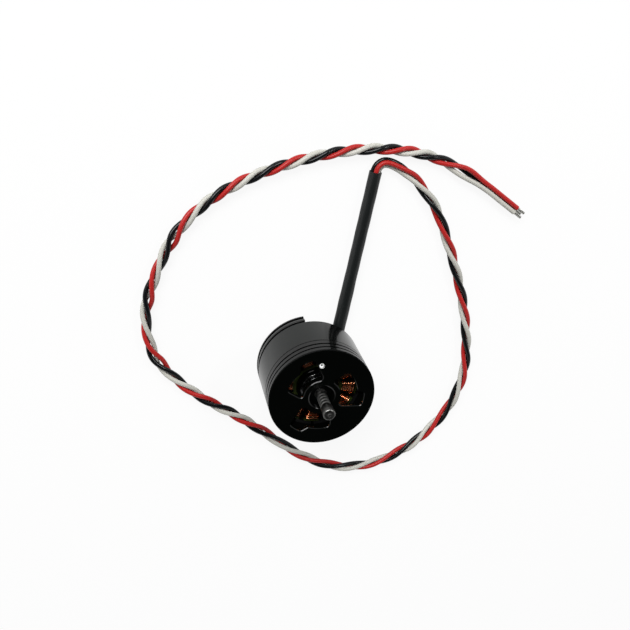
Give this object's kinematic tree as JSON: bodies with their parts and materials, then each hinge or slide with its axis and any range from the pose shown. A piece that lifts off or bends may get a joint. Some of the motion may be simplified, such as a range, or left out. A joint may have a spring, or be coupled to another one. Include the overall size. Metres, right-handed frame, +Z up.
{
  "type": "drone arm motor",
  "caption": "Small outrunner motor with a windowed bell, a shaft for a propeller adapter, a wound stator, a ring-shaped base and a long cable of coloured leads.",
  "frame": {"origin": "centre of the base's mounting face, on the shaft's axis", "axes": "+Z up along the shaft, out of the bell; +Y roughly the way the cable leaves the base; +X to its right"},
  "size_m": [0.1004, 0.099, 0.0278],
  "materials": {
    "black_anodised": "black anodised, satin",
    "bearing_steel": "polished bearing steel",
    "lamination_steel": "coated electrical steel",
    "green_insulation": "olive green varnished insulation",
    "enamelled_copper": "enamelled copper wire",
    "grey_heat_shrink": "dark grey heat-shrink",
    "lead_rubber": "silicone insulated leads",
    "red_rubber": "red silicone",
    "white_rubber": "white silicone",
    "black_rubber": "black silicone",
    "tinned_copper": "tinned strands",
    "cage_brass": "pressed brass",
    "satin_steel": "turned steel, satin grey",
    "plated_magnet": "nickel plated magnets",
    "dark_steel": "blackened hard steel"
  },
  "bodies": {
    "base": {"mount_base": "black_anodised", "front_bearing_outer": "bearing_steel", "rear_bearing_outer": "bearing_steel", "bearing_shields": "bearing_steel", "stator_core": "lamination_steel", "front_insulator": "green_insulation", "rear_insulator": "green_insulation", "windings": "enamelled_copper", "phase_wires": "enamelled_copper", "heat_shrink_sleeve": "grey_heat_shrink", "lead_bundle": "lead_rubber", "red_lead_end": "red_rubber", "white_lead_end": "white_rubber", "black_lead_end": "black_rubber", "tinned_tips": "tinned_copper"},
    "rotor": {"bell_cap": "black_anodised", "flux_ring": "satin_steel", "magnets": "plated_magnet", "shaft": "dark_steel", "spacer_washer": "bearing_steel", "retaining_clip": "dark_steel", "front_bearing_inner": "bearing_steel", "rear_bearing_inner": "bearing_steel"},
    "front_ball_set": {"front_bearing_balls": "bearing_steel", "front_bearing_cage": "cage_brass"},
    "rear_ball_set": {"rear_bearing_balls": "bearing_steel", "rear_bearing_cage": "cage_brass"}
  },
  "joints": [
    {"name": "rotor_spin", "type": "hinge", "parent": "base", "child": "rotor", "pos_m": [0, 0, 0.0143], "axis": [0, 0, 1], "continuous": true},
    {"name": "front_balls_roll", "type": "hinge", "parent": "base", "child": "front_ball_set", "pos_m": [0, 0, 0.0124], "axis": [0, 0, 1], "continuous": true},
    {"name": "rear_balls_roll", "type": "hinge", "parent": "base", "child": "rear_ball_set", "pos_m": [0, 0, 0.0033], "axis": [0, 0, 1], "continuous": true}
  ],
  "couplings": [
    {"joint": "front_balls_roll", "follows": "rotor_spin", "ratio": 0.3749},
    {"joint": "rear_balls_roll", "follows": "rotor_spin", "ratio": 0.3749}
  ]
}
